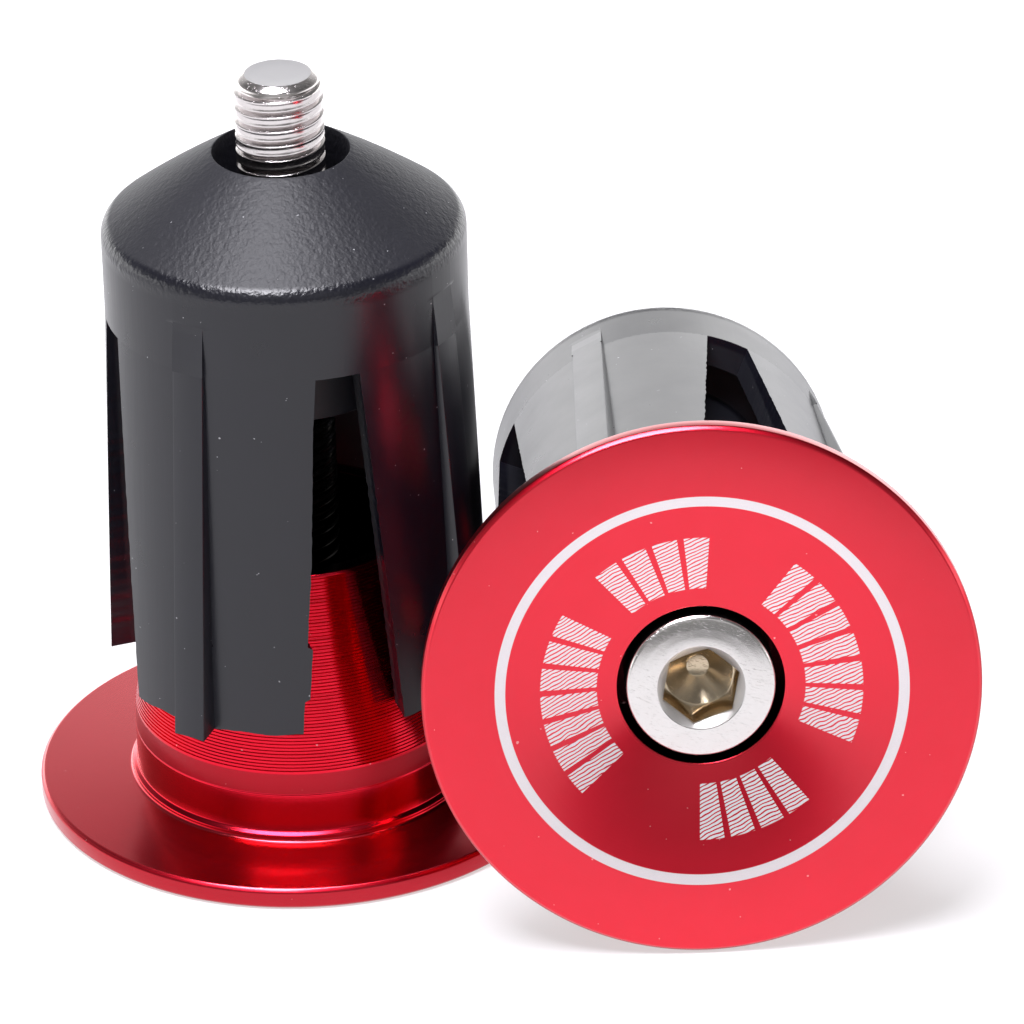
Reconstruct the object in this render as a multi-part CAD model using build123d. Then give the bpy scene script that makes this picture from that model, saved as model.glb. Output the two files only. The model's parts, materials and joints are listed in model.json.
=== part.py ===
from build123d import *
import math
import os

os.makedirs("parts", exist_ok=True)

# A pair of expanding handlebar end plugs, in millimetres, +Z up, standing on z = 0.
# Each unit is drawn in its own frame: z = 0 on the flange's outer face, +z towards the nose.

# Flanged plug, turned from bar
FLANGE_R = 15.8
FLANGE_T = 1.3
RIM_CHAMFER = 0.22
LIP_R = 10.3
LIP_TOP_Z = 1.7
BODY_R = 10.0
BODY_FOOT_Z = 2.3
BAND_Z = 4.3
CONE_Z = 5.75
CONE_R = 9.96
CONE_END_Z = 17.3
CONE_END_R = 7.35
MOUTH_R = 6.3
MOUTH_Z = 10.6
MOUTH_END_Z = 9.0
SCREW_BORE_R = 2.75
HEAD_BORE_R = 4.74
HEAD_SEAT_Z = 5.8
RING_OUTER_R = 11.7
RING_INNER_R = 11.06
RING_DEPTH = 0.1
DISH_DEPTH = 1.2

# Cap screw, M5 x 40 with a 4 mm hex socket
HEAD_R = 4.25
HEAD_H = 5.0
HEAD_CHAMFER = 0.3
SHANK_R = 2.5
SHANK_L = 40.0
SHANK_CHAMFER = 0.6
HEX_AF = 4.0
HEX_DEPTH = 2.5
HEX_POINT_DEPTH = 1.1
HEX_POINT_R = 0.7
SCREW_ROLL = {"a": 20.0, "b": 19.5}

# Captive nut, M5
NUT_AF = 8.0
NUT_H = 4.0
NUT_Z = 30.9
NUT_BORE_R = 2.55

# Expander sleeve: nose, with four fingers hanging from it
NOSE_R = 10.5
NOSE_FOOT_Z = 31.45
SHOULDER_Z = 36.15
SHOULDER_R = 1.03
SHOULDER_TURN = 56.1
NOSE_END_Z = 41.1
NOSE_HOLE_R = 3.95
WEB_Z = 33.2
BOSS_R = 6.4
BOSS_Z = 26.8
WALL_T = 1.8
FINGER_TOP_Z = 31.37
FINGER_END_Z = 9.0
FINGER_END_R = 11.22
FINGER_END_INNER_R = 9.4
SLOT_TOP_HALF = 1.3
SLOT_END_HALF = 3.2
RIB_W = 2.0
RIB_TOP_Z = 33.9
RIB_END_Z = 8.7
RIB_END_R = 12.35
RIB_ROOT_R = 9.9
RIB_ANGLE = 42.4
FINGER_COUNT = 4
MARGIN = 1.0
SECTOR = 360.0 / FINGER_COUNT

# How far each sleeve stands out along its screw from where it is drawn
SLEEVE_OUT = {"a": 0.0, "b": 2.0}

# Where the two units are: A stands on its flange, B lies on its rim and its shoulder
A_X = -11.496
A_Y = -2.049
A_ROLL = 16.6
B_FROM_A_X = 23.0
B_FROM_A_Y = -19.64
B_HEADING = 1.2
B_ROLL = 21.5


def ring_solid(points):
    """Turn a closed outline, given as (radius, z) points, about the z axis."""
    face = make_face(Plane.XZ * Polyline(*points, close=True))
    return revolve(face, Axis.Z)


def hex_prism(across_flats, height, z):
    """A hexagonal prism on the z axis, with its foot at z."""
    sketch = RegularPolygon(across_flats / math.sqrt(3), 6)
    return Pos(0, 0, z) * extrude(sketch, height)


def plug():
    """Flange with a dished outer face and screw bore, plain body, and a tapered end bored hollow."""
    return ring_solid([
        (HEAD_BORE_R, DISH_DEPTH),
        (RING_INNER_R, RING_DEPTH),
        (RING_OUTER_R, 0),
        (FLANGE_R - RIM_CHAMFER, 0),
        (FLANGE_R, RIM_CHAMFER),
        (FLANGE_R, FLANGE_T - RIM_CHAMFER),
        (FLANGE_R - RIM_CHAMFER, FLANGE_T),
        (LIP_R, FLANGE_T),
        (LIP_R, LIP_TOP_Z),
        (BODY_R, BODY_FOOT_Z),
        (BODY_R, BAND_Z),
        (CONE_R, CONE_Z),
        (CONE_END_R, CONE_END_Z),
        (MOUTH_R, CONE_END_Z),
        (MOUTH_R, MOUTH_Z),
        (SCREW_BORE_R, MOUTH_END_Z),
        (SCREW_BORE_R, HEAD_SEAT_Z),
        (HEAD_BORE_R, HEAD_SEAT_Z),
    ])


def cap_screw(roll):
    """Socket head cap screw, its head at the flange end and its thread as a plain shank."""
    face_z = HEAD_SEAT_Z - HEAD_H
    end_z = HEAD_SEAT_Z + SHANK_L
    body = ring_solid([
        (0, face_z),
        (HEAD_R - HEAD_CHAMFER, face_z),
        (HEAD_R, face_z + HEAD_CHAMFER),
        (HEAD_R, HEAD_SEAT_Z),
        (SHANK_R, HEAD_SEAT_Z),
        (SHANK_R, end_z - SHANK_CHAMFER),
        (SHANK_R - SHANK_CHAMFER, end_z),
        (0, end_z),
    ])
    socket = hex_prism(HEX_AF, HEX_DEPTH, face_z)
    floor_z = face_z + HEX_DEPTH
    point = ring_solid([
        (0, floor_z),
        (HEX_AF / 2, floor_z),
        (HEX_POINT_R, floor_z + HEX_POINT_DEPTH),
        (0, floor_z + HEX_POINT_DEPTH),
    ])
    return Rot(0, 0, roll) * (body - socket - point)


def hex_nut():
    """Hex nut held in the nose."""
    bore = Pos(0, 0, NUT_Z) * extrude(Circle(NUT_BORE_R), NUT_H)
    return hex_prism(NUT_AF, NUT_H, NUT_Z) - bore


def rib(top_z, end_z):
    """One of the sleeve's raised ribs, between two heights."""
    slope = (RIB_END_R - NOSE_R) / (RIB_TOP_Z - RIB_END_Z)
    top_r = NOSE_R + slope * (RIB_TOP_Z - top_z)
    end_r = NOSE_R + slope * (RIB_TOP_Z - end_z)
    outline = Polyline(
        (RIB_ROOT_R, top_z),
        (top_r, top_z),
        (end_r, end_z),
        (RIB_ROOT_R, end_z),
        close=True,
    )
    bar = extrude(make_face(Plane.XZ * outline), RIB_W / 2, both=True)
    return Rot(0, 0, RIB_ANGLE) * bar


def around(solid):
    """The solid repeated once for each finger."""
    return [Rot(0, 0, SECTOR * k) * solid for k in range(FINGER_COUNT)]


def shoulder_point(turn):
    """Point (radius, z) on the round of the shoulder, some degrees round from the collar wall."""
    angle = math.radians(turn)
    return NOSE_R - SHOULDER_R * (1 - math.cos(angle)), SHOULDER_Z + SHOULDER_R * math.sin(angle)


def sleeve_nose():
    """Nose of the sleeve: solid collar, round-shouldered cone, screw hole and nut boss."""
    outline = Polyline(
        shoulder_point(SHOULDER_TURN),
        (NOSE_HOLE_R, NOSE_END_Z),
        (NOSE_HOLE_R, NUT_Z + NUT_H),
        (SCREW_BORE_R, NUT_Z + NUT_H),
        (SCREW_BORE_R, BOSS_Z),
        (BOSS_R, BOSS_Z),
        (BOSS_R, WEB_Z),
        (NOSE_R - WALL_T, WEB_Z),
        (NOSE_R - WALL_T, NOSE_FOOT_Z),
        (NOSE_R, NOSE_FOOT_Z),
        (NOSE_R, SHOULDER_Z),
    )
    outline += ThreePointArc(*(shoulder_point(SHOULDER_TURN * share) for share in (0, 0.5, 1)))
    collar = revolve(make_face(Plane.XZ * outline), Axis.Z)
    ribs = around(rib(RIB_TOP_Z, NOSE_FOOT_Z))
    return collar + ribs - hex_prism(NUT_AF, NUT_H, NUT_Z)


def finger_wall():
    """The slotted wall of the sleeve before it is cut, flaring towards its free end."""
    return ring_solid([
        (NOSE_R - WALL_T, FINGER_TOP_Z),
        (NOSE_R, FINGER_TOP_Z),
        (FINGER_END_R, FINGER_END_Z),
        (FINGER_END_INNER_R, FINGER_END_Z),
    ])


def slot():
    """The space between two fingers, widening towards the free end."""
    taper = (SLOT_END_HALF - SLOT_TOP_HALF) / (FINGER_TOP_Z - FINGER_END_Z)
    top_half = SLOT_TOP_HALF - taper * MARGIN
    end_half = SLOT_END_HALF + taper * MARGIN
    outline = Polyline(
        (-top_half, FINGER_TOP_Z + MARGIN),
        (top_half, FINGER_TOP_Z + MARGIN),
        (end_half, FINGER_END_Z - MARGIN),
        (-end_half, FINGER_END_Z - MARGIN),
        close=True,
    )
    return extrude(make_face(Plane.YZ * outline), FINGER_END_R + MARGIN)


def fingers():
    """The four fingers, in order round the sleeve, each with its rib."""
    wall = finger_wall() - around(slot())
    reach = 2 * FINGER_END_R
    height = FINGER_TOP_Z
    result = []
    for k in range(FINGER_COUNT):
        quarter = Rot(0, 0, SECTOR * k) * Box(reach, reach, height, align=(Align.MIN, Align.MIN, Align.MIN))
        ribbed = Rot(0, 0, SECTOR * k) * rib(FINGER_TOP_Z, RIB_END_Z)
        result.append((wall & quarter) + ribbed)
    return result


def unit_parts(letter):
    """All the pieces of one unit in its own frame, by node name."""
    out = Pos(0, 0, SLEEVE_OUT[letter])
    parts = {
        f"plug_{letter}": plug(),
        f"cap_screw_{letter}": cap_screw(SCREW_ROLL[letter]),
        f"hex_nut_{letter}": out * hex_nut(),
        f"sleeve_nose_{letter}": out * sleeve_nose(),
    }
    for number, finger in enumerate(fingers(), start=1):
        parts[f"sleeve_finger_{letter}{number}"] = out * finger
    return parts


def place_a():
    """Unit A stands on its flange with its nose up."""
    return Pos(A_X, A_Y, 0) * Rot(0, 0, A_ROLL)


def place_b():
    """Unit B lies with its flange rim and its shoulder on the ground, outer face forward."""
    rim_z = FLANGE_T - RIM_CHAMFER
    reach = SHOULDER_Z + SLEEVE_OUT["b"] - rim_z
    drop = FLANGE_R - NOSE_R + SHOULDER_R
    dip = math.atan2(drop, reach) - math.asin(SHOULDER_R / math.hypot(drop, reach))
    heading = math.radians(B_HEADING)
    height = FLANGE_R * math.cos(dip) + rim_z * math.sin(dip)
    along = (-math.sin(heading) * math.cos(dip), math.cos(heading) * math.cos(dip), -math.sin(dip))
    right = (math.cos(heading), math.sin(heading), 0)
    centre = (A_X + B_FROM_A_X, A_Y + B_FROM_A_Y, height)
    return Plane(origin=centre, x_dir=right, z_dir=along).location * Rot(0, 0, B_ROLL)


def main():
    corners = []
    for letter, place in (("a", place_a()), ("b", place_b())):
        for node, solid in unit_parts(letter).items():
            placed = place * solid
            export_step(placed, f"parts/{node}.step")
            corners.append(placed.bounding_box())
            print(node, round(placed.volume, 2), len(placed.solids()))
    low = [min(tuple(box.min)[axis] for box in corners) for axis in range(3)]
    high = [max(tuple(box.max)[axis] for box in corners) for axis in range(3)]
    print("low", [round(value, 4) for value in low], "high", [round(value, 4) for value in high])


main()
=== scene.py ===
import json
import math
import random

import bpy
import numpy as np
from mathutils import Matrix, Vector

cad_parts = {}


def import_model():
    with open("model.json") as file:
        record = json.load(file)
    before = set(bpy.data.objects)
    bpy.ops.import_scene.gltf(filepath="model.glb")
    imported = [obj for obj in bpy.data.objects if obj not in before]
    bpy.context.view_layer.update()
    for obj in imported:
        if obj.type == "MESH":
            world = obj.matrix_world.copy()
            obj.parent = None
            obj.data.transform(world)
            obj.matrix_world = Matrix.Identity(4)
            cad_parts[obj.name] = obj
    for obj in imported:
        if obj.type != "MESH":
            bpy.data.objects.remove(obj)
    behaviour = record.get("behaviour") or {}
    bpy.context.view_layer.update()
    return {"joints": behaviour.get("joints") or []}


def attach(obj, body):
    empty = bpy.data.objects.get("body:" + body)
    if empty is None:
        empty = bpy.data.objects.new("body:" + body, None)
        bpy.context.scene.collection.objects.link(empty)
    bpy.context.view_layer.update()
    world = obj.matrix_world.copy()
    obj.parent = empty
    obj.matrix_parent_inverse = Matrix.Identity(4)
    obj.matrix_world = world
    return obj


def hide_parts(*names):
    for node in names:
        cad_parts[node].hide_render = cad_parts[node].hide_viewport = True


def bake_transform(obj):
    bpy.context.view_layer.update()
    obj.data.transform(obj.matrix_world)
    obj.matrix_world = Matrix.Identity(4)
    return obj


MM = 0.001
TURN = 2 * math.pi

# Plug, in its unit's own frame: z = 0 on the flange's outer face, +z towards the nose, millimetres
FLANGE_R = 15.8
FLANGE_T = 1.3
RIM_CHAMFER = 0.22
LIP_R = 10.3
LIP_TOP_Z = 1.7
BODY_R = 10.0
BODY_FOOT_Z = 2.3
BAND_Z = 4.3
CONE_Z = 5.75
CONE_R = 9.96
CONE_END_Z = 17.3
CONE_END_R = 7.35
MOUTH_R = 6.3
MOUTH_Z = 10.6
MOUTH_END_Z = 9.0
SCREW_BORE_R = 2.75
HEAD_BORE_R = 4.74
HEAD_SEAT_Z = 5.8
RING_OUTER_R = 11.7
RING_INNER_R = 11.06
RING_DEPTH = 0.1
DISH_DEPTH = 1.2
RIDGE_COUNT = 58
RIDGE_DEPTH = 0.09
RIDGE_SHAPE = ((0.0, 0.0), (0.3, 0.0), (0.42, -1.0), (0.62, -1.0), (0.88, 0.0))
PLUG_COLUMNS = 288

# Cap screw
HEAD_R = 4.25
HEAD_H = 5.0
HEAD_DOME = ((3.0, 0.04), (3.5, 0.10))
HEAD_EDGE = 0.16
HEAD_EDGE_DROP = 0.20
SHANK_L = 40.0
THREAD_R = 2.55
THREAD_DEPTH = 0.34
THREAD_PITCH = 0.9
THREAD_FOOT_Z = 14.0
THREAD_CREST_HOLLOW = 0.035
THREAD_STEPS = 16
SCREW_COLUMNS = 120
TIP_BEVEL_R = 2.38
TIP_BEVEL = 0.42
TIP_FLAT_R = 1.9
TIP_SUNK = 0.02
HEX_AF = 4.0
HEX_DEPTH = 2.5
HEX_MOUTH_R = 2.52
HEX_MOUTH_SLOPE = 0.75
POINT_R = 1.98
POINT_DEPTH = 1.1
POINT_FLAT_R = 0.7
SCREW_ROLL = {"a": 20.0, "b": 19.5}

# Nut
NUT_AF = 8.0
NUT_H = 4.0
NUT_Z = 30.9
NUT_BORE_R = 2.55
NUT_COLUMNS = 96
NUT_FACE_R = 3.85
NUT_LEAD = 0.3
NUT_BEVEL_SLOPE = 0.58

# Sleeve
NOSE_R = 10.5
SEAM_Z = 31.41
SHOULDER_Z = 36.15
SHOULDER_R = 1.03
SHOULDER_TURN = 56.1
NOSE_BOW = 0.12
NOSE_STEPS = 26
SHOULDER_STEPS = 12
CONE_STEPS = 24
COLLAR_STEPS = 72
NOSE_END_Z = 41.1
NOSE_HOLE_R = 3.95
WEB_Z = 33.2
BOSS_R = 6.4
BOSS_Z = 26.8
WALL_T = 1.8
FINGER_TOP_Z = 31.37
FINGER_END_Z = 9.0
FINGER_END_R = 11.22
FINGER_END_INNER_R = 9.4
SLOT_TOP_HALF = 1.3
SLOT_END_HALF = 3.2
RIB_HALF = 1.0
RIB_TOP_Z = 33.9
RIB_END_Z = 8.7
RIB_END_R = 12.35
RIB_ANGLE = 42.4
FINGERS = 4
RIB_STEP = 0.05
RIB_STEP_LENGTH = 1.6
EDGE_EASE = 0.1
FINGER_ROWS = 120
FINGER_END_ROWS = 2
FINGER_ARC_POINTS = 14
FINGER_INNER_POINTS = 22
EDGE_WAVES = 8
FLASHED_FINGER = ("a", 3)
FLASH_TAB_Z = (11.2, 14.6)
FLASH_TAB = 0.30
FLASH_WIDTH = 0.26
FLASH_TOP_Z = 28.0
FLASH_RUN_IN = 8.0
SLEEVE_OUT = {"a": 0.0, "b": 2.0}

# Etched blocks in the dish: start and end angle and number of blocks in each group
MARK_GROUPS = ((-40, 6, 4), (36, 115, 7), (139, 184, 4), (229, 304, 7))
MARK_IN_R = 5.9
MARK_OUT_R = 9.1
MARK_TURN = 111.5
MARK_FILL = 0.79
HATCH_PITCH = 0.21

# Brightness of the room, behind and in front, by the sine of the height above the horizon
REAR_LIGHT = (
    (-0.05, 3.2), (0.08, 2.9), (0.15, 2.1), (0.21, 1.15),
    (0.3, 0.95), (0.45, 0.8), (0.65, 0.28), (1.0, 0.12),
)
FRONT_LIGHT = (
    (-0.05, 0.2), (0.12, 0.25), (0.3, 0.5), (0.5, 0.75),
    (0.7, 0.3), (0.85, 0.12), (1.0, 0.12),
)
RAMP_FULL = 4.0

# How the front turns into the rear, by y; how the sides dim, by x; from what height they do, by z
REAR_SHARE = ((-0.75, 0.0), (-0.05, 4.0))
SIDE_LIGHT = ((-0.75, 1.4), (-0.35, 4.0), (0.35, 4.0), (0.75, 1.4))
SIDE_SHARE = ((0.16, 0.0), (0.32, 4.0))

# Soft box
KEY_POWER = 7.6
KEY_SIZE = (0.30, 0.34)
KEY_AT_X = -0.10
KEY_RANGE = 0.6
KEY_LIFT = 77
KEY_COLOUR = (0.95, 0.94, 1.0)

# Floor: its painted glow, where its front darkens with painted shade, and the directions of painted
# patches of light there, in metres and in degrees from -Y
FLOOR_SIZE = 6.0
FLOOR_Z = -0.00002
FLOOR_GLOW = 0.57
FLOOR_DIM_SHARE = 0.15
FLOOR_REAR_GLOW = 1.1
FLOOR_REAR_Y = (0.03, 0.20)
FLOOR_FADE = (-0.26, -0.34)
FLOOR_LIGHT_PATCHES = ((-36, 6, 10), (26, 46, 6))
FLOOR_WHITE = ((0.34, 0.34, 0.345), (0.36, 0.36, 0.365))
FLOOR_DIM = (0.12, 0.12, 0.122)
FLOOR_GLOW_COLOUR = (1.0, 0.995, 1.0, 1.0)

# Colours; a pair is the two ends of a cloudy blend
RED = ((0.66, 0.003, 0.020), (0.71, 0.005, 0.028))
# Painted shade: darker red for the flange's rim
RED_RIM_SHADE = (0.36, 0.004, 0.014)
RED_BAND = (0.40, 0.006, 0.018)
RED_SPECK = (0.9, 0.5, 0.5)
# Painted shade: near black for the plug's bores
BORE_SHADE = (0.012, 0.001, 0.002)
BARE_ALUMINIUM = ((0.70, 0.64, 0.66), (0.86, 0.82, 0.84))
NICKEL = ((0.63, 0.60, 0.585), (0.70, 0.68, 0.67))
# Painted shade: the same plate, darker on the thread than on the head
NICKEL_THREAD_SHADE = ((0.57, 0.53, 0.52), (0.68, 0.65, 0.65))
NICKEL_SOCKET = (0.52, 0.43, 0.31)
# Painted shade: darker plate on the socket's mouth, dimming its highlight
NICKEL_MOUTH_SHADE = (0.44, 0.425, 0.41)
NICKEL_TIP = (0.66, 0.65, 0.67)
# Painted shade: near black plate where the thread runs inside the sleeve
NICKEL_IN_SHADE = (0.10, 0.095, 0.09)
BLACK = ((0.003, 0.003, 0.006), (0.006, 0.006, 0.011))
BLACK_SPECK = (0.45, 0.45, 0.47)

# Camera, in millimetres and degrees
FOCAL = 228.47
SENSOR = 36
CLIP = (0.01, 20)
CAMERA_AT = (-1.504, -339.968, 194.641)
CAMERA_TILT = 27.692
CAMERA_YAW = 0.46
CAMERA_ROLL = -1.344


# ---------------------------------------------------------------- geometry helpers

def unit_matrix(frame, letter):
    """The unit's own frame, in millimetres, as a matrix into the row frame in metres."""
    joints = {j["name"]: j for j in frame["joints"]}
    turn = joints[f"screw_turn_{letter}"]
    axis = Vector(turn["axis"]).normalized()
    origin = Vector(turn["pos_m"]) - axis * HEAD_SEAT_Z * MM
    hinge = Vector(joints[f"finger_open_{letter}1"]["pos_m"]) - origin
    diagonal = (hinge - axis * hinge.dot(axis)).normalized()
    across = axis.cross(diagonal)
    x_dir = (diagonal - across).normalized()
    y_dir = axis.cross(x_dir)
    columns = Matrix((x_dir, y_dir, axis)).transposed().to_4x4()
    return Matrix.Translation(origin) @ columns @ Matrix.Scale(MM, 4)


def round_corners(points, size, steps=3):
    """The open outline with all but its two ends rounded, as (x, y) points."""
    out = [points[0]]
    for before, corner, after in zip(points, points[1:], points[2:]):
        p = Vector(corner)
        before = Vector(before) - p
        after = Vector(after) - p
        cut = min(size, 0.4 * before.length, 0.4 * after.length)
        start = p + before.normalized() * cut
        end = p + after.normalized() * cut
        for step in range(steps + 1):
            t = step / steps
            out.append(tuple(start * (1 - t) ** 2 + p * 2 * t * (1 - t) + end * t ** 2))
    return out + [points[-1]]


def around_axis(rows, angles, roll=0.0):
    """Points of a grid given as rows of (radius, z), one for each angle about the z axis."""
    points = []
    for row in rows:
        points += [(r * math.cos(a + roll), r * math.sin(a + roll), z) for (r, z), a in zip(row, angles)]
    return points


def clamp(value, low=0.0, high=1.0):
    """The value kept between two limits."""
    return min(high, max(low, value))


def add_mesh(name, points, faces, place, sharp=32.0):
    """A mesh from local points in millimetres, which it keeps as the attribute 'local'."""
    local = np.array(points, float).reshape(-1, 3)
    matrix = np.array(place)
    world = local @ matrix[:3, :3].T + matrix[:3, 3]
    mesh = bpy.data.meshes.new(name)
    mesh.from_pydata(world.tolist(), [], faces)
    layer = mesh.attributes.new("local", "FLOAT_VECTOR", "POINT")
    layer.data.foreach_set("vector", local.astype(np.float32).ravel())
    mesh.update()
    mesh.validate()
    mesh.shade_smooth()
    mesh.set_sharp_from_angle(angle=math.radians(sharp))
    obj = bpy.data.objects.new(name, mesh)
    bpy.context.scene.collection.objects.link(obj)
    return obj


def grid_faces(rows, columns, wrap_rows=False, wrap_columns=True, flip=False):
    """Quads over a grid of points stored row after row."""
    faces = []
    for i in range(rows if wrap_rows else rows - 1):
        for j in range(columns if wrap_columns else columns - 1):
            a = i * columns + j
            b = i * columns + (j + 1) % columns
            c = ((i + 1) % rows) * columns + (j + 1) % columns
            d = ((i + 1) % rows) * columns + j
            faces.append((a, d, c, b) if flip else (a, b, c, d))
    return faces


def lathe(profile, columns):
    """Points of a profile of (radius, z) turned about the z axis."""
    angles = np.linspace(0, TURN, columns, endpoint=False)
    x, y = np.cos(angles), np.sin(angles)
    return np.concatenate([np.column_stack([r * x, r * y, np.full(columns, z)]) for r, z in profile])


# ---------------------------------------------------------------- plug

def plug_profile():
    """Closed outline of the plug, its corners eased and its cone ridged."""
    cone = []
    for k in range(RIDGE_COUNT):
        for share, lift in RIDGE_SHAPE:
            t = (k + share) / RIDGE_COUNT
            z = CONE_Z + (CONE_END_Z - 0.12 - CONE_Z) * t
            r = CONE_R + (CONE_END_R + 0.02 - CONE_R) * t
            cone.append((r + lift * RIDGE_DEPTH, z))
    front = round_corners([
        (HEAD_BORE_R, HEAD_SEAT_Z),
        (HEAD_BORE_R, DISH_DEPTH),
        (RING_INNER_R, RING_DEPTH),
        (RING_OUTER_R, 0),
        (FLANGE_R - RIM_CHAMFER, 0),
        (FLANGE_R, RIM_CHAMFER),
        (FLANGE_R, FLANGE_T - RIM_CHAMFER),
        (FLANGE_R - RIM_CHAMFER, FLANGE_T),
        (LIP_R + 0.14, FLANGE_T),
        (LIP_R, FLANGE_T + 0.14),
        (LIP_R, LIP_TOP_Z - 0.04),
        (BODY_R + 0.03, LIP_TOP_Z + 0.14),
        (BODY_R, BODY_FOOT_Z),
        (BODY_R, BAND_Z - 0.08),
        (BODY_R - 0.03, BAND_Z),
        (BODY_R - 0.03, CONE_Z - 0.15),
    ], 0.07)
    back = round_corners([
        (CONE_END_R, CONE_END_Z - 0.1),
        (CONE_END_R - 0.08, CONE_END_Z),
        (MOUTH_R, CONE_END_Z),
        (MOUTH_R, MOUTH_Z),
        (SCREW_BORE_R, MOUTH_END_Z),
        (SCREW_BORE_R, HEAD_SEAT_Z),
    ], 0.06)
    return front + cone + back


def build_plug(letter, place):
    """Plug turned from its outline."""
    profile = plug_profile()
    points = lathe(profile, PLUG_COLUMNS)
    faces = grid_faces(len(profile), PLUG_COLUMNS, wrap_rows=True)
    return add_mesh(f"plug_skin_{letter}", points, faces, place, sharp=50)


# ---------------------------------------------------------------- cap screw

def hexagon(angle, across_flats):
    """Distance from the axis to a hexagon's side, at an angle from one of its corners."""
    return across_flats / 2 / math.cos((angle % (math.pi / 3)) - math.pi / 6)


def head_rows(angles):
    """Rows of points from the socket's floor, up its walls and over the head to the shank."""
    columns = len(angles)
    face_z = HEAD_SEAT_Z - HEAD_H
    floor_z = face_z + HEX_DEPTH
    hexes = [hexagon(a, HEX_AF) for a in angles]
    rows = [
        [(0.02, floor_z + POINT_DEPTH)] * columns,
        [(POINT_FLAT_R - 0.1, floor_z + POINT_DEPTH)] * columns,
        [(POINT_FLAT_R, floor_z + POINT_DEPTH - 0.04)] * columns,
        [(POINT_R - 0.05, floor_z + 0.03)] * columns,
        [(POINT_R, floor_z)] * columns,
        [(h, floor_z) for h in hexes],
    ]
    drop = [(HEX_MOUTH_R - h) * HEX_MOUTH_SLOPE for h in hexes]
    rows.append([(h, face_z + d + 0.05) for h, d in zip(hexes, drop)])
    rows.append([(h + 0.02, face_z + d) for h, d in zip(hexes, drop)])
    outer = round_corners([
        (HEX_MOUTH_R - 0.1, face_z + 0.075),
        (HEX_MOUTH_R, face_z),
        *((r, face_z + sunk) for r, sunk in HEAD_DOME),
        (HEAD_R - HEAD_EDGE, face_z + HEAD_EDGE_DROP),
        (HEAD_R, face_z + HEAD_EDGE_DROP + HEAD_EDGE),
        (HEAD_R, HEAD_SEAT_Z),
        (THREAD_R, HEAD_SEAT_Z),
        (THREAD_R, HEAD_SEAT_Z + 1),
    ], 0.09, steps=4)
    outer.append((THREAD_R, THREAD_FOOT_Z - THREAD_PITCH))
    return rows + [[p] * columns for p in outer[1:]]


def thread_radius(phase):
    """Radius at a share of the pitch: broad, nearly flat crests parted by narrow roots."""
    off = min(phase, 1 - phase) * 2
    lift = math.sin(clamp((off - 0.05) / 0.34) * math.pi / 2) ** 1.3
    hollow = THREAD_CREST_HOLLOW * clamp((off - 0.5) / 0.3)
    return THREAD_R - THREAD_DEPTH * (1 - lift) - hollow


def tip_limit(below):
    """Largest and smallest radius of the shank, a distance below its end."""
    share = min(1.0, below / TIP_BEVEL)
    top = TIP_FLAT_R + (TIP_BEVEL_R - TIP_FLAT_R) * math.sin(share * math.pi / 2)
    top += (THREAD_R - TIP_BEVEL_R) * clamp((below - TIP_BEVEL) / 0.3)
    core = top - clamp((below - TIP_BEVEL) / 0.8)
    return top, core


def shank_rows(angles):
    """Rows along the shank, each one following the helix so that the crests stay crisp."""
    end_z = HEAD_SEAT_Z + SHANK_L
    turns = int((end_z - THREAD_FOOT_Z) / THREAD_PITCH) + 2
    rows = []
    for k in range(-THREAD_STEPS, turns * THREAD_STEPS + 1):
        row = []
        crest = thread_radius((k / THREAD_STEPS) % 1.0)
        for a in angles:
            z = THREAD_FOOT_Z + THREAD_PITCH * (k / THREAD_STEPS + a / TURN)
            run_in = clamp((z - THREAD_FOOT_Z) / (2 * THREAD_PITCH))
            z = clamp(z, THREAD_FOOT_Z - THREAD_PITCH, end_z)
            top, core = tip_limit(end_z - z)
            row.append((clamp(THREAD_R - (THREAD_R - crest) * run_in, core, top), z))
        rows.append(row)
    return rows


def tip_rows(columns):
    """Rows of the shank's end face, from its edge inwards."""
    end_z = HEAD_SEAT_Z + SHANK_L
    rings = (
        (TIP_FLAT_R, end_z),
        (TIP_FLAT_R - 0.12, end_z),
        (TIP_FLAT_R - 0.3, end_z - 0.012),
        (0.9, end_z - TIP_SUNK),
    )
    return [[p] * columns for p in rings]


def build_screw(letter, place):
    """Screw from three grids: socket and head, thread, end face; a fan closes each end on the axis."""
    columns = SCREW_COLUMNS
    roll = math.radians(SCREW_ROLL[letter])
    angles = [TURN * k / columns for k in range(columns)]
    points, faces = [], []

    def put(rows, row_angles, wrap=True):
        first = len(points)
        points.extend(around_axis(rows, row_angles, roll))
        found = grid_faces(len(rows), len(row_angles), wrap_columns=wrap)
        faces.extend(tuple(v + first for v in f) for f in found)

    put(head_rows(angles), angles)
    points.append((0, 0, HEAD_SEAT_Z - HEAD_H + HEX_DEPTH + POINT_DEPTH))
    apex = len(points) - 1
    faces.extend((apex, (j + 1) % columns, j) for j in range(columns))

    # The thread's grid has one more column, a pitch further on, which meets the first one
    wide_angles = angles + [TURN]
    put(shank_rows(wide_angles), wide_angles, wrap=False)
    put(tip_rows(columns), angles)
    last = len(points) - columns
    points.append((0, 0, HEAD_SEAT_Z + SHANK_L - TIP_SUNK))
    apex = len(points) - 1
    faces.extend((apex, last + j, last + (j + 1) % columns) for j in range(columns))
    return add_mesh(f"cap_screw_skin_{letter}", points, faces, place, sharp=40)


# ---------------------------------------------------------------- nut

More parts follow.
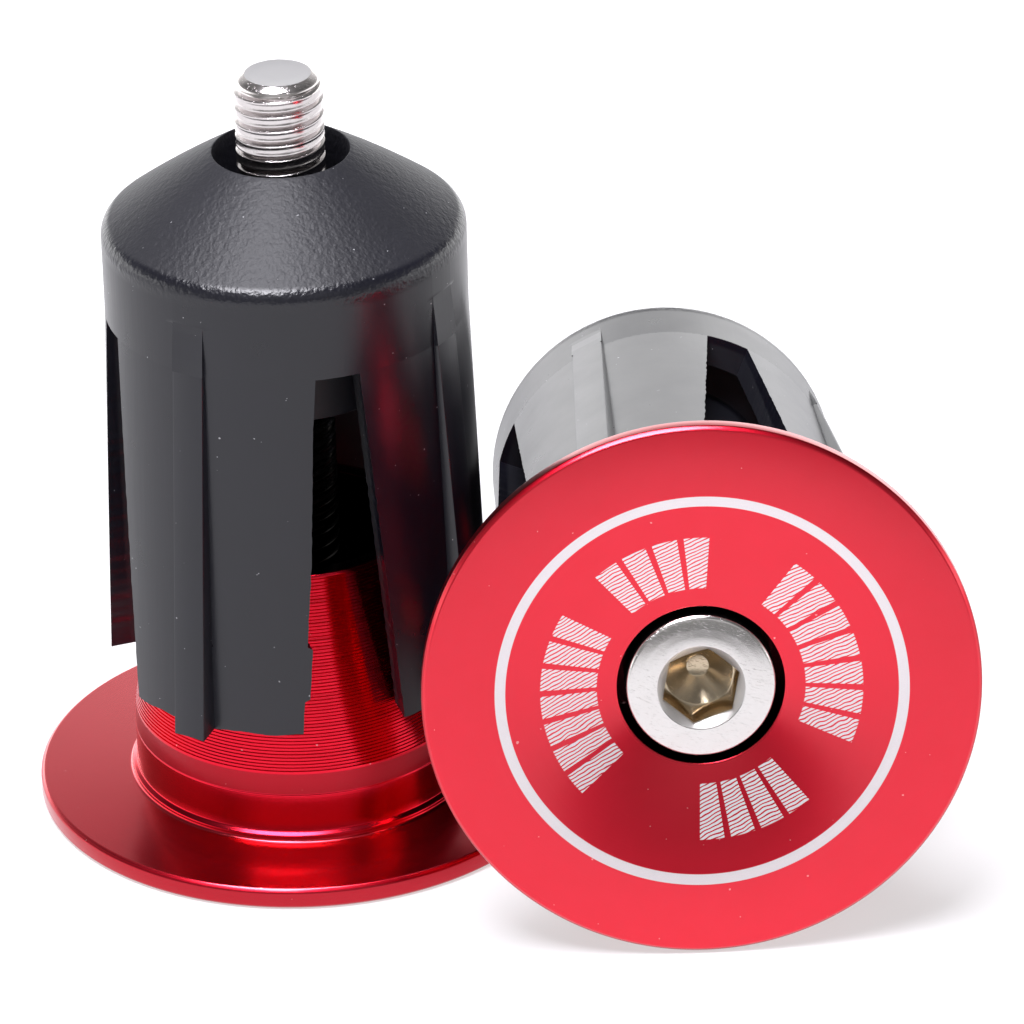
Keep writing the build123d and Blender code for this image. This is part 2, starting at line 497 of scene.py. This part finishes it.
def build_nut(letter, place):
    """Hex nut with bevelled corners and a lead into its bore."""
    columns = NUT_COLUMNS
    angles = [TURN * k / columns for k in range(columns)]
    hexes = [hexagon(a, NUT_AF) for a in angles]
    ease = [(h - NUT_FACE_R) * NUT_BEVEL_SLOPE for h in hexes]
    rows = [
        [(NUT_BORE_R, NUT_Z + NUT_LEAD)] * columns,
        [(NUT_BORE_R + NUT_LEAD, NUT_Z)] * columns,
        [(NUT_FACE_R, NUT_Z)] * columns,
        [(h, NUT_Z + e) for h, e in zip(hexes, ease)],
        [(h, NUT_Z + NUT_H - e) for h, e in zip(hexes, ease)],
        [(NUT_FACE_R, NUT_Z + NUT_H)] * columns,
        [(NUT_BORE_R + NUT_LEAD, NUT_Z + NUT_H)] * columns,
        [(NUT_BORE_R, NUT_Z + NUT_H - NUT_LEAD)] * columns,
    ]
    faces = grid_faces(len(rows), columns, wrap_rows=True)
    return add_mesh(f"hex_nut_skin_{letter}", around_axis(rows, angles), faces, place)


# ---------------------------------------------------------------- sleeve

def rib_radius(z):
    """Distance from the axis to the flat top of a rib."""
    step = RIB_STEP * clamp((RIB_TOP_Z - z) / RIB_STEP_LENGTH)
    return NOSE_R + step + (RIB_END_R - NOSE_R) * (RIB_TOP_Z - z) / (RIB_TOP_Z - RIB_END_Z)


def nose_outside():
    """Outline of the nose as (radius, z), round the shoulder and up the slightly bowed cone."""
    shoulder = []
    for k in range(SHOULDER_STEPS + 1):
        turn = math.radians(SHOULDER_TURN * k / SHOULDER_STEPS)
        r = NOSE_R - SHOULDER_R * (1 - math.cos(turn))
        shoulder.append((r, SHOULDER_Z + SHOULDER_R * math.sin(turn)))
    foot_r, foot_z = shoulder[-1]
    cone = []
    for k in range(1, CONE_STEPS):
        t = k / CONE_STEPS
        r = foot_r + (NOSE_HOLE_R - foot_r) * t
        cone.append((r, foot_z + (NOSE_END_Z - foot_z) * t + NOSE_BOW * 4 * t * (1 - t)))
    return shoulder + cone


def nose_inside(start):
    """Outline of the nose as (radius, z), from a start on the cone through its hole down to its foot."""
    return round_corners([
        start,
        (NOSE_HOLE_R, NOSE_END_Z),
        (NOSE_HOLE_R, NUT_Z + NUT_H),
        (SCREW_BORE_R + 0.05, NUT_Z + NUT_H),
        (SCREW_BORE_R + 0.05, BOSS_Z),
        (BOSS_R, BOSS_Z),
        (BOSS_R, WEB_Z),
        (NOSE_R - WALL_T, WEB_Z),
        (NOSE_R - WALL_T, SEAM_Z),
    ], 0.16)


def nose_columns():
    """Angles of the nose's columns, each with the angle of its rib's middle if it is on a rib."""
    base = math.asin(RIB_HALF / NOSE_R)
    columns = []
    for k in range(FINGERS):
        centre = math.radians(RIB_ANGLE + 90 * k)
        columns.append((centre - base, None))
        columns += [(centre + base * lean, centre) for lean in (-0.985, 0, 0.985)]
        columns.append((centre + base, None))
        for s in range(1, NOSE_STEPS):
            columns.append((centre + base + (math.pi / 2 - 2 * base) * (s / NOSE_STEPS), None))
    return columns


def build_nose(letter, place):
    """Nose and collar, with the tops of the four ribs."""
    columns = nose_columns()
    angles = [angle for angle, _ in columns]
    wall = []
    for k in range(COLLAR_STEPS + 1):
        z = SEAM_Z + (SHOULDER_Z - 0.1 - SEAM_Z) * k / COLLAR_STEPS
        top = rib_radius(z)
        reach = [NOSE_R if rib is None else max(NOSE_R, top / math.cos(a - rib)) for a, rib in columns]
        wall.append([(r, z) for r in reach])
    outside = nose_outside()
    rest = [[p] * len(columns) for p in outside[:-1] + nose_inside(outside[-1])]
    faces = grid_faces(len(wall + rest), len(columns), wrap_rows=True)
    return add_mesh(f"nose_skin_{letter}", around_axis(wall + rest, angles), faces, place)


def finger_drop(z):
    """How far a height is from the slot's top to the finger's end, from 0 to 1."""
    return (FINGER_TOP_Z - z) / (FINGER_TOP_Z - FINGER_END_Z)


def slot_half(z):
    """Half the width of a slot at a height."""
    return SLOT_TOP_HALF + (SLOT_END_HALF - SLOT_TOP_HALF) * finger_drop(z)


def wall_arc(radius, angles):
    """Points on one face of a finger's wall."""
    return [(radius * math.cos(a), radius * math.sin(a), FINGER_END_Z) for a in angles]


def rib_outline(reach, half):
    """Points round the outer end of a rib, which reaches so far from the axis, corners eased."""
    ease = EDGE_EASE
    corners = (
        (reach - ease, -half),
        (reach - ease * 0.3, -half + ease * 0.3),
        (reach, -half + ease),
        (reach, 0),
        (reach, half - ease),
        (reach - ease * 0.3, half - ease * 0.3),
        (reach - ease, half),
    )
    centre = math.radians(RIB_ANGLE)
    along = Vector((math.cos(centre), math.sin(centre)))
    across = Vector((-along.y, along.x))
    return [(*(along * out + across * side), RIB_END_Z) for out, side in corners]


def finger_section(z, outward, ragged):
    """Cross section of a finger at a height, as (x, y, lower end) points round it."""
    drop = finger_drop(z)
    outer = NOSE_R + (FINGER_END_R - NOSE_R) * drop + outward
    inner = NOSE_R - WALL_T + (FINGER_END_INNER_R - NOSE_R + WALL_T) * drop - outward
    half = slot_half(z) - outward
    left, right = half + ragged[0], half + ragged[1]
    centre = math.radians(RIB_ANGLE)
    rib_half = RIB_HALF + outward
    base = math.asin(rib_half / outer)
    start, end = math.asin(right / outer), math.pi / 2 - math.asin(left / outer)
    section = wall_arc(outer, np.linspace(start, centre - base, FINGER_ARC_POINTS))
    section += rib_outline(rib_radius(z) + outward, rib_half)
    section += wall_arc(outer, np.linspace(centre + base, end, FINGER_ARC_POINTS))
    start, end = math.asin(right / inner), math.pi / 2 - math.asin(left / inner)
    return section + wall_arc(inner, np.linspace(end, start, FINGER_INNER_POINTS))


def flash_width(z):
    """Extra width of moulding flash along one finger's edge, with a tab that ends in a step."""
    along = clamp((FLASH_TOP_Z - z) / FLASH_RUN_IN) * FLASH_WIDTH
    return along + (FLASH_TAB if FLASH_TAB_Z[0] < z < FLASH_TAB_Z[1] else 0.0)


def build_finger(letter, number, place):
    """One finger, from the seam at the slot's top to its free end, with slightly rough moulded edges."""
    rng = random.Random(f"{letter}{number}")
    rows = FINGER_ROWS + FINGER_END_ROWS + 1
    waves = []
    for _ in range(EDGE_WAVES):
        waves.append((rng.uniform(0.8, 9.0), rng.uniform(0, TURN), rng.uniform(0.004, 0.014)))
    ends = {}
    turned = Matrix.Rotation(TURN / FINGERS * (number - 1), 4, "Z")
    points = []
    for k in range(rows):
        t = min(1.0, k / FINGER_ROWS)
        past = max(0, k - FINGER_ROWS)
        z_mid = SEAM_Z + (FINGER_END_Z - SEAM_Z) * t
        outward = -0.05 * past / 2 * (1.0 + past)
        rough = sum(size * math.sin(z_mid * rate + phase) for rate, phase, size in waves) * min(1, 3 * t)
        wide = flash_width(z_mid) if (letter, number) == FLASHED_FINGER else 0.0
        section = finger_section(z_mid, outward, (rough * (0.4 if wide else 1.0) - wide, -rough * 0.7))
        for i, (x, y, end_z) in enumerate(section):
            if i not in ends:
                ends[i] = end_z + 0.05 * math.sin(i * 0.7 + number) + rng.uniform(-0.02, 0.02)
            z = SEAM_Z + (ends[i] - SEAM_Z) * t - 0.02 * past
            points.append(tuple(turned @ Vector((x, y, z))))
    count = len(section)
    faces = grid_faces(rows, count, flip=True)
    faces.append(tuple(range(count)))
    faces.append(tuple(reversed(range((rows - 1) * count, rows * count))))
    return add_mesh(f"finger_skin_{letter}{number}", points, faces, place)


# ---------------------------------------------------------------- materials

class Shader:
    """A material and short ways to add nodes to it."""

    def __init__(self, name):
        self.material = bpy.data.materials.new(name)
        self.material.use_nodes = True
        self.tree = self.material.node_tree
        self.tree.nodes.clear()
        self.out = self.add("ShaderNodeOutputMaterial")
        self.bsdf = self.add("ShaderNodeBsdfPrincipled")
        self.link(self.bsdf.outputs[0], self.out.inputs["Surface"])
        local = self.add("ShaderNodeAttribute")
        local.attribute_name = "local"
        self.local = local.outputs["Vector"]
        parts = self.add("ShaderNodeSeparateXYZ")
        self.link(self.local, parts.inputs[0])
        self.x, self.y, self.z = parts.outputs
        squares = [self.math("MULTIPLY", v, v) for v in (self.x, self.y)]
        self.r = self.math("SQRT", self.math("ADD", *squares))

    def add(self, kind):
        return self.tree.nodes.new(kind)

    def link(self, a, b):
        self.tree.links.new(a, b)

    def feed(self, socket, value):
        if isinstance(value, bpy.types.NodeSocket):
            self.link(value, socket)
        else:
            socket.default_value = value

    def math(self, operation, a, b=0.0, c=0.0):
        node = self.add("ShaderNodeMath")
        node.operation = operation
        for socket, value in zip(node.inputs, (a, b, c)):
            self.feed(socket, value)
        return node.outputs[0]

    def ease(self, value, low, high):
        """0 below low, 1 above high, smooth between; low may be the larger."""
        node = self.add("ShaderNodeMapRange")
        node.interpolation_type = "SMOOTHSTEP"
        self.feed(node.inputs["Value"], value)
        node.inputs["From Min"].default_value = min(low, high)
        node.inputs["From Max"].default_value = max(low, high)
        node.inputs["To Min"].default_value = float(low > high)
        node.inputs["To Max"].default_value = float(low <= high)
        return node.outputs["Result"]

    def span(self, value, low, high, soft):
        """1 between low and high, 0 outside."""
        above = self.ease(value, low - soft, low + soft)
        return self.both(above, self.ease(value, high + soft, high - soft))

    def both(self, a, b):
        """Where both masks are set."""
        return self.math("MULTIPLY", a, b)

    def either(self, *masks):
        """Where any of the masks is set."""
        total = masks[0]
        for mask in masks[1:]:
            total = self.math("MAXIMUM", total, mask)
        return total

    def noise(self, scale, detail, rough, vector=None, stretch=None):
        """Noise from 0 to 1; scale is in waves for each millimetre."""
        node = self.add("ShaderNodeTexNoise")
        source = vector or self.local
        if stretch:
            mapping = self.add("ShaderNodeMapping")
            mapping.inputs["Scale"].default_value = stretch
            self.link(source, mapping.inputs["Vector"])
            source = mapping.outputs[0]
        self.link(source, node.inputs["Vector"])
        node.inputs["Scale"].default_value = scale
        node.inputs["Detail"].default_value = detail
        node.inputs["Roughness"].default_value = rough
        return node.outputs["Fac"]

    def vector(self, x, y, z):
        node = self.add("ShaderNodeCombineXYZ")
        for socket, value in zip(node.inputs, (x, y, z)):
            self.feed(socket, value)
        return node.outputs[0]

    def mix(self, share, a, b):
        """Blend of two colours."""
        node = self.add("ShaderNodeMix")
        node.data_type = "RGBA"
        self.feed(node.inputs["Factor"], share)
        self.feed(node.inputs[6], a if isinstance(a, bpy.types.NodeSocket) else (*a, 1.0))
        self.feed(node.inputs[7], b if isinstance(b, bpy.types.NodeSocket) else (*b, 1.0))
        return node.outputs[2]

    def blend(self, share, a, b):
        """Blend of two numbers."""
        node = self.add("ShaderNodeMix")
        node.data_type = "FLOAT"
        self.feed(node.inputs["Factor"], share)
        self.feed(node.inputs[2], a)
        self.feed(node.inputs[3], b)
        return node.outputs[0]

    def bump(self, height, distance, normal=None):
        """Bump of a height from 0 to 1 over a distance in millimetres, on top of another if given."""
        node = self.add("ShaderNodeBump")
        node.inputs["Strength"].default_value = 1.0
        node.inputs["Distance"].default_value = distance * MM
        self.link(height, node.inputs["Height"])
        if normal:
            self.link(normal, node.inputs["Normal"])
        return node.outputs[0]

    def set(self, **values):
        """Values or sockets for the surface's inputs, by name."""
        for name, value in values.items():
            self.feed(self.bsdf.inputs[name.replace("_", " ")], value)


def anodised_material():
    """Red anodised aluminium: clear oxide over dyed metal, a bare cut ring and pale etched blocks."""
    s = Shader("red_anodised_aluminium")
    # Masks, from the distance to the axis and the height in the unit's own frame, in millimetres
    ring = s.both(s.span(s.r, RING_INNER_R + 0.02, RING_OUTER_R - 0.02, 0.02), s.ease(s.z, 0.3, 0.2))
    pale = s.either(ring, dish_marks(s))
    band = s.both(s.span(s.z, BAND_Z, CONE_Z - 0.1, 0.03), s.ease(s.r, 9.5, 9.7))
    # Painted shade: the hollow end of the cone and the well round the head are painted near black,
    # without coat
    hollow = s.both(s.ease(s.r, 7.25, 7.0), s.ease(s.z, 7.0, 8.0))
    well = s.both(s.ease(s.r, HEAD_BORE_R + 0.08, HEAD_BORE_R + 0.03), s.ease(s.z, 1.19, 1.25))
    bore = s.either(hollow, well)
    # Painted shade: the flange's rim is darkened and loses part of its coat
    rim = s.math("MULTIPLY", s.ease(s.r, FLANGE_R - 0.16, FLANGE_R - 0.02), 0.8)
    stem = s.both(s.ease(s.z, 1.35, 1.5), s.ease(s.r, 15.0, 14.0))
    # Fine turning marks and grain
    cloud = s.noise(0.35, 4, 0.6)
    fine = s.noise(9.0, 3, 0.6)
    grooves = s.vector(s.math("MULTIPLY", s.r, 11.0), s.math("MULTIPLY", s.z, 11.0), 0.0)
    normal = s.bump(fine, 0.0012, s.bump(s.noise(1.0, 2, 0.5, vector=grooves), 0.004))
    colour = anodised_colour(s, cloud, pale, band, bore, rim)
    rough = anodised_roughness(s, cloud, fine, pale, band)
    s.set(Base_Color=colour, Metallic=1.0, Roughness=rough, Normal=normal)
    uncoated = s.either(pale, bore, s.math("MULTIPLY", stem, 0.7), s.math("MULTIPLY", rim, 0.6))
    s.set(Coat_Weight=s.blend(uncoated, 0.9, 0.0), Coat_Roughness=0.16, Coat_IOR=1.48)
    return s.material


def anodised_colour(s, cloud, pale, band, bore, rim):
    """Cloudy red with a darker band and bare metal where it is cut; painted shade darkens the rim and
    makes the bores near black.
    """
    specks = s.ease(s.noise(3.6, 0, 0.5), 0.865, 0.885)
    colour = s.mix(cloud, *RED)
    colour = s.mix(bore, colour, BORE_SHADE)
    colour = s.mix(rim, colour, RED_RIM_SHADE)
    colour = s.mix(band, colour, RED_BAND)
    colour = s.mix(s.math("MULTIPLY", specks, 0.5), colour, RED_SPECK)
    bare = s.mix(s.noise(30.0, 2, 0.5, stretch=(1, 1, 0.1)), *BARE_ALUMINIUM)
    return s.mix(pale, colour, bare)


def anodised_roughness(s, cloud, fine, pale, band):
    """Polished round the body, satin on the flange, its outer face and the band, dull where cut."""
    flange_top = s.both(s.span(s.z, 1.1, 1.36, 0.02), s.ease(s.r, LIP_R + 0.15, LIP_R + 0.3))
    outer_face = s.ease(s.z, 1.25, 1.15)
    rough = s.blend(cloud, 0.11, 0.17)
    rough = s.blend(s.math("MULTIPLY", fine, 0.25), rough, 0.24)
    for mask, value in ((flange_top, 0.25), (outer_face, 0.3), (band, 0.36), (pale, 0.5)):
        rough = s.blend(mask, rough, value)
    return rough


def dish_marks(s):
    """Mask of four groups of plain hatched blocks etched round the dish."""
    angle = s.math("ADD", s.math("MULTIPLY", s.math("ARCTAN2", s.y, s.x), 180 / math.pi), MARK_TURN)
    # Each offset is from a group's middle, -180 to 180; the whole turns keep the modulo positive
    whole_turns = 2 * 360.0
    groups = []
    for start, end, count in MARK_GROUPS:
        middle, half = (start + end) / 2, (end - start) / 2
        offset = s.math("ADD", s.math("SUBTRACT", angle, middle), whole_turns + 180.0)
        offset = s.math("SUBTRACT", s.math("MODULO", offset, 360.0), 180.0)
        inside = s.math("LESS_THAN", s.math("ABSOLUTE", offset), half)
        share = s.math("FRACT", s.math("DIVIDE", s.math("ADD", offset, half), 2 * half / count))
        groups.append(s.both(inside, s.ease(share, MARK_FILL + 0.01, MARK_FILL - 0.01)))
    blocks = s.both(s.either(*groups), s.span(s.r, MARK_IN_R, MARK_OUT_R, 0.03))
    lean = s.math("ADD", s.math("MULTIPLY", s.x, 0.75), s.math("MULTIPLY", s.y, 0.66))
    lean = s.math("ADD", lean, s.math("MULTIPLY", s.noise(1.2, 1, 0.5), 0.25))
    hatch = s.ease(s.math("FRACT", s.math("DIVIDE", lean, HATCH_PITCH)), 0.30, 0.42)
    return s.both(s.both(blocks, hatch), s.ease(s.z, 1.3, 1.25))


def plated_material():
    """Bright nickel plate with fine scratches and a few dull patches, browner in the hex socket; painted
    shade darkens the thread and the socket's mouth, and makes the thread inside the sleeve near black.
    """
    s = Shader("nickel_plated_steel")
    tip_z = HEAD_SEAT_Z + SHANK_L
    # Masks, from the distance to the axis and the height in the unit's own frame, in millimetres
    socket = s.both(s.ease(s.r, 2.45, 2.2), s.span(s.z, 1.1, 4.6, 0.1))
    # Painted shade: the socket's mouth is tinted darker
    mouth = s.both(s.span(s.r, 1.95, HEX_MOUTH_R - 0.02, 0.03), s.span(s.z, 0.82, 1.25, 0.03))
    thread = s.ease(s.z, 9.0, 11.0)
    # Painted shade: the thread inside the sleeve is near black
    inside = s.both(thread, s.ease(s.z, 36.5, 34.5))
    tip = s.both(s.ease(s.z, tip_z - 0.08, tip_z - 0.04), s.ease(s.r, 1.95, 1.85))
    cloud = s.noise(0.8, 4, 0.6)
    scratch = s.ease(s.noise(2.2, 2, 0.7, stretch=(1.0, 9.0, 1.2)), 0.62, 0.68)
    tint = s.mix(socket, s.mix(cloud, *NICKEL), NICKEL_SOCKET)
    # Painted shade: the thread is tinted darker than the head
    tint = s.mix(thread, tint, s.mix(cloud, *NICKEL_THREAD_SHADE))
    for mask, colour in ((tip, NICKEL_TIP), (inside, NICKEL_IN_SHADE), (mouth, NICKEL_MOUTH_SHADE)):
        tint = s.mix(mask, tint, colour)
    rough = s.blend(cloud, 0.15, 0.22)
    for mask, value in ((tip, 0.4), (mouth, 0.5), (s.math("MULTIPLY", scratch, 0.5), 0.35)):
        rough = s.blend(mask, rough, value)
    normal = s.bump(scratch, 0.003, s.bump(s.noise(14.0, 3, 0.6), 0.0025))
    s.set(Base_Color=tint, Metallic=1.0, Roughness=rough, Normal=normal)
    return s.material


def plastic_material():
    """Black moulded plastic: leathery grain on the nose, smoother drawn walls, dull inside."""
    s = Shader("black_sleeve_plastic")
    on_nose = s.ease(s.z, SHOULDER_Z - 0.6, SHOULDER_Z + 0.2)
    wall_inside = s.ease(s.r, 10.2, 9.9)
    cloud = s.noise(0.3, 4, 0.6)
    specks = s.ease(s.noise(5.0, 0, 0.5), 0.87, 0.885)
    colour = s.mix(s.math("MULTIPLY", specks, 0.6), s.mix(cloud, *BLACK), BLACK_SPECK)
    rough = s.blend(on_nose, s.blend(cloud, 0.24, 0.34), 0.28)
    rough = s.blend(wall_inside, rough, 0.55)
    pores = s.math("MULTIPLY", s.noise(7.0, 1, 0.5), 0.4)
    leather = s.both(s.math("ADD", s.noise(3.0, 1, 0.5), pores), on_nose)
    draw = s.noise(2.0, 3, 0.6, stretch=(1.0, 1.0, 0.06))
    normal = s.bump(draw, 0.006, s.bump(leather, 0.045))
    s.set(Base_Color=colour, Roughness=rough, Normal=normal, IOR=1.5)
    return s.material


def floor_material():
    """White sweep that glows with painted light near the object and more behind it, with painted soft
    patches of light on its front, which is otherwise painted darker.
    """
    s = Shader("white_sweep")
    where = s.add("ShaderNodeTexCoord")
    parts = s.add("ShaderNodeSeparateXYZ")
    s.link(where.outputs["Object"], parts.inputs[0])
    x, y, _ = parts.outputs
    heading = s.math("ARCTAN2", x, s.math("MULTIPLY", y, -1.0))
    heading = s.math("MULTIPLY", heading, 180 / math.pi)
    # Painted light: bright patches and a glow on the floor, painted shade on the rest of its front
    patches = [s.span(heading, *patch) for patch in FLOOR_LIGHT_PATCHES]
    light = s.either(s.ease(y, FLOOR_FADE[1], FLOOR_FADE[0]), *patches)
    white = s.mix(s.noise(0.02, 2, 0.5), *FLOOR_WHITE)
    s.set(Base_Color=s.mix(light, FLOOR_DIM, white), Roughness=0.85)
    front = s.math("MULTIPLY", s.blend(light, FLOOR_DIM_SHARE, 1.0), FLOOR_GLOW)
    rear = s.math("MULTIPLY", s.ease(y, *FLOOR_REAR_Y), FLOOR_REAR_GLOW)
    s.set(Emission_Color=FLOOR_GLOW_COLOUR, Emission_Strength=s.math("ADD", front, rear))
    return s.material


# ---------------------------------------------------------------- stage

def add_floor():
    """Wide floor just under the object."""
    size = FLOOR_SIZE
    corners = [(-size, -size, 0), (size, -size, 0), (size, size, 0), (-size, size, 0)]
    mesh = bpy.data.meshes.new("floor")
    mesh.from_pydata(corners, [], [(0, 1, 2, 3)])
    obj = bpy.data.objects.new("floor", mesh)
    bpy.context.scene.collection.objects.link(obj)
    obj.data.materials.append(floor_material())
    obj.location.z = FLOOR_Z


def light_ramp(tree, source, low, stops):
    """Brightness by a direction's component, given as (component, brightness) stops."""
    spread = tree.nodes.new("ShaderNodeMapRange")
    tree.links.new(source, spread.inputs["Value"])
    spread.inputs["From Min"].default_value = low
    spread.inputs["From Max"].default_value = 1.0
    node = tree.nodes.new("ShaderNodeValToRGB")
    tree.links.new(spread.outputs[0], node.inputs[0])
    node.color_ramp.interpolation = "EASE"
    elements = node.color_ramp.elements
    while len(elements) < len(stops):
        elements.new(0.5)
    for element, (place, value) in zip(elements, stops):
        element.position = (place - low) / (1.0 - low)
        element.color = (*[value / RAMP_FULL] * 3, 1)
    return node.outputs[0]


def mix_light(tree, kind, share, a, b):
    """Two brightnesses mixed or multiplied by a share."""
    node = tree.nodes.new("ShaderNodeMix")
    node.data_type = "RGBA"
    node.blend_type = kind
    for socket, source in ((node.inputs["Factor"], share), (node.inputs[6], a), (node.inputs[7], b)):
        tree.links.new(source, socket)
    return node.outputs[2]


def add_world():
    """White room: bright sweep low behind, darker above and in front."""
    world = bpy.data.worlds.new("studio")
    bpy.context.scene.world = world
    world.use_nodes = True
    tree = world.node_tree
    tree.nodes.clear()
    out = tree.nodes.new("ShaderNodeOutputWorld")
    back = tree.nodes.new("ShaderNodeBackground")
    where = tree.nodes.new("ShaderNodeTexCoord")
    parts = tree.nodes.new("ShaderNodeSeparateXYZ")
    tree.links.new(where.outputs["Generated"], parts.inputs[0])
    x, y, z = parts.outputs
    rear = light_ramp(tree, z, -0.1, REAR_LIGHT)
    front = light_ramp(tree, z, -0.1, FRONT_LIGHT)
    room = mix_light(tree, "MIX", light_ramp(tree, y, -1.0, REAR_SHARE), front, rear)
    sides = light_ramp(tree, x, -1.0, SIDE_LIGHT)
    room = mix_light(tree, "MULTIPLY", light_ramp(tree, z, -0.1, SIDE_SHARE), room, sides)
    tree.links.new(room, back.inputs["Color"])
    back.inputs["Strength"].default_value = RAMP_FULL
    tree.links.new(back.outputs[0], out.inputs[0])


def add_key():
    """Soft box nearly overhead, which gives the noses their sheen."""
    data = bpy.data.lights.new("key", "AREA")
    data.shape = "RECTANGLE"
    data.size, data.size_y = KEY_SIZE
    data.energy = KEY_POWER
    data.color = KEY_COLOUR
    obj = bpy.data.objects.new("key", data)
    bpy.context.scene.collection.objects.link(obj)
    lift = math.radians(KEY_LIFT)
    obj.location = (KEY_AT_X, -KEY_RANGE * math.cos(lift), KEY_RANGE * math.sin(lift))
    obj.rotation_mode = "QUATERNION"
    obj.rotation_quaternion = obj.location.to_track_quat("Z", "Y")


def add_camera():
    """Camera in front, looking down a little from a distance."""
    data = bpy.data.cameras.new("camera")
    data.sensor_width = SENSOR
    data.lens = FOCAL
    data.clip_start, data.clip_end = CLIP
    obj = bpy.data.objects.new("camera", data)
    bpy.context.scene.collection.objects.link(obj)
    tilt, yaw, roll = (math.radians(v) for v in (CAMERA_TILT, CAMERA_YAW, CAMERA_ROLL))
    forward = Vector((math.sin(yaw) * math.cos(tilt), math.cos(yaw) * math.cos(tilt), -math.sin(tilt)))
    right = Vector((math.cos(yaw), -math.sin(yaw), 0))
    up = right.cross(forward)
    side = right * math.cos(roll) + up * math.sin(roll)
    top = up * math.cos(roll) - right * math.sin(roll)
    turn = Matrix((side, top, -forward)).transposed().to_4x4()
    obj.matrix_world = Matrix.Translation(Vector(CAMERA_AT) * MM) @ turn
    bpy.context.scene.camera = obj


# ---------------------------------------------------------------- scene

def dress(obj, material, node):
    """Material, slot and the node that the piece stands for."""
    obj.data.materials.append(material)
    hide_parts(node)


def build_unit(frame, letter, looks):
    """All the pieces of one unit; plug, screw, nut and nose each ride on a body, the fingers are baked
    in place.
    """
    place = unit_matrix(frame, letter)
    anodised, plated, plastic = looks
    sleeve_place = place @ Matrix.Translation((0, 0, SLEEVE_OUT[letter]))
    plug = build_plug(letter, place)
    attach(plug, f"plug_body_{letter}")
    dress(plug, anodised, f"plug_{letter}")
    screw = build_screw(letter, place)
    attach(screw, f"screw_body_{letter}")
    dress(screw, plated, f"cap_screw_{letter}")
    nut = build_nut(letter, sleeve_place)
    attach(nut, f"nose_body_{letter}")
    dress(nut, plated, f"hex_nut_{letter}")
    nose = build_nose(letter, sleeve_place)
    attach(nose, f"nose_body_{letter}")
    dress(nose, plastic, f"sleeve_nose_{letter}")
    for number in range(1, FINGERS + 1):
        finger = build_finger(letter, number, sleeve_place)
        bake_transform(finger)
        dress(finger, plastic, f"sleeve_finger_{letter}{number}")


def main():
    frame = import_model()
    looks = (anodised_material(), plated_material(), plastic_material())
    for letter in "ab":
        build_unit(frame, letter, looks)
    add_floor()
    add_world()
    add_key()
    add_camera()
    bpy.context.scene.view_settings.view_transform = "Standard"


main()
